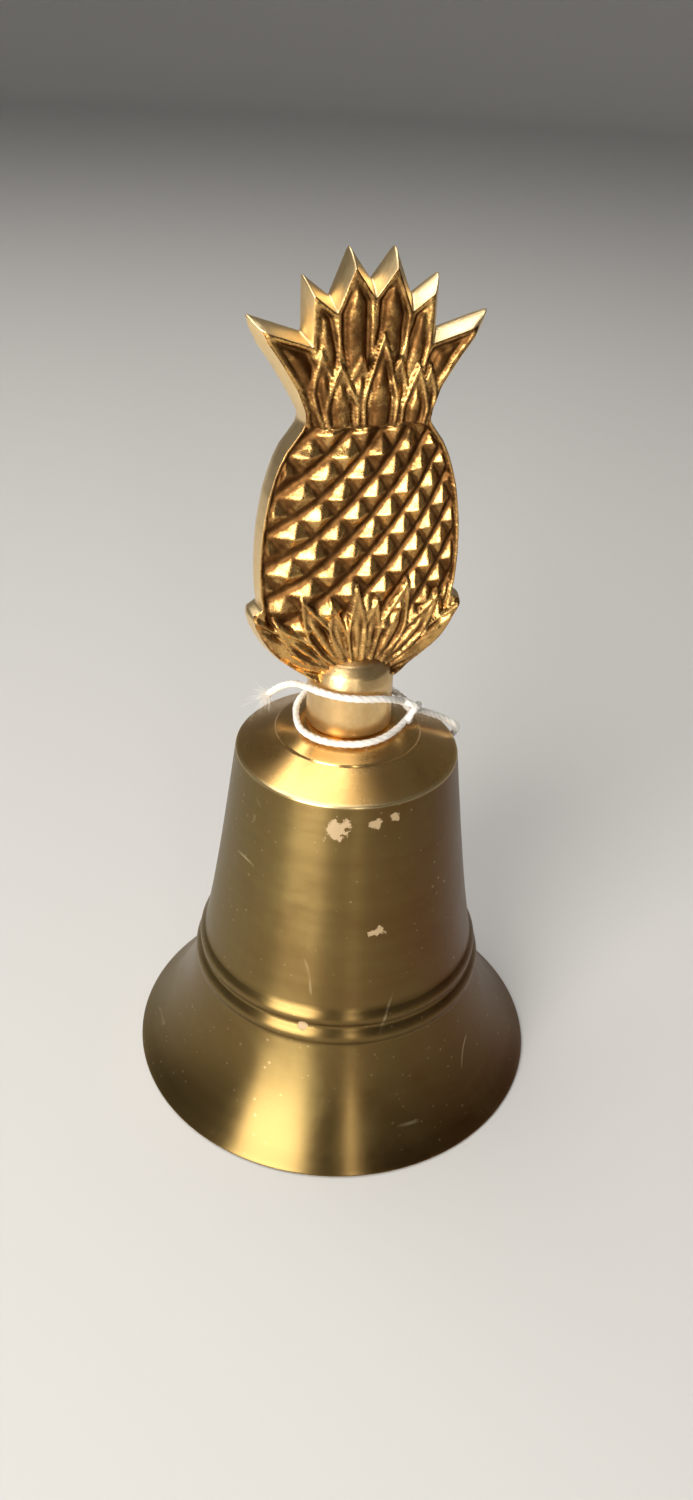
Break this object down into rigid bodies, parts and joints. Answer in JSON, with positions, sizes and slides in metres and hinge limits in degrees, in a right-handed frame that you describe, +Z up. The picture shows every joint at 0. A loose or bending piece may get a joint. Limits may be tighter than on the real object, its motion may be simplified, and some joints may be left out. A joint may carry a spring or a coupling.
{
  "type": "hand bell",
  "caption": "Small turned brass hand bell with a flat cast pineapple handle, a hanging clapper and a cotton string tied round its neck.",
  "frame": {"origin": "centre of the bell's mouth, in the plane the rim stands on", "axes": "+Z up along the bell's axis, -Y is the front face of the pineapple, +X to its right"},
  "size_m": [0.0598, 0.0598, 0.1156],
  "materials": {
    "turned_brass": "satin, tarnished",
    "cast_brass": "cast, dark patina in the recesses",
    "zinc_steel": "zinc plated",
    "brass_wire": "drawn wire, dull",
    "cotton": "twisted, slightly fuzzy"
  },
  "bodies": {
    "bell": {"bell_shell": "turned_brass", "handle": "cast_brass", "eye_bolt": "zinc_steel", "washer": "zinc_steel", "hex_nut": "zinc_steel", "tie_string": "cotton", "string_knot": "cotton"},
    "link": {"clapper_link": "brass_wire"},
    "clapper": {"clapper_rod": "brass_wire", "clapper_ball": "turned_brass"}
  },
  "joints": [
    {"name": "clapper_turn", "type": "hinge", "parent": "bell", "child": "link", "pos_m": [0, 0, 0.0419], "axis": [0, 0, 1], "range_deg": [-30, 30]},
    {"name": "clapper_swing", "type": "hinge", "parent": "link", "child": "clapper", "pos_m": [0, 0, 0.0359], "axis": [0, 1, 0], "range_deg": [-31, 31]}
  ]
}
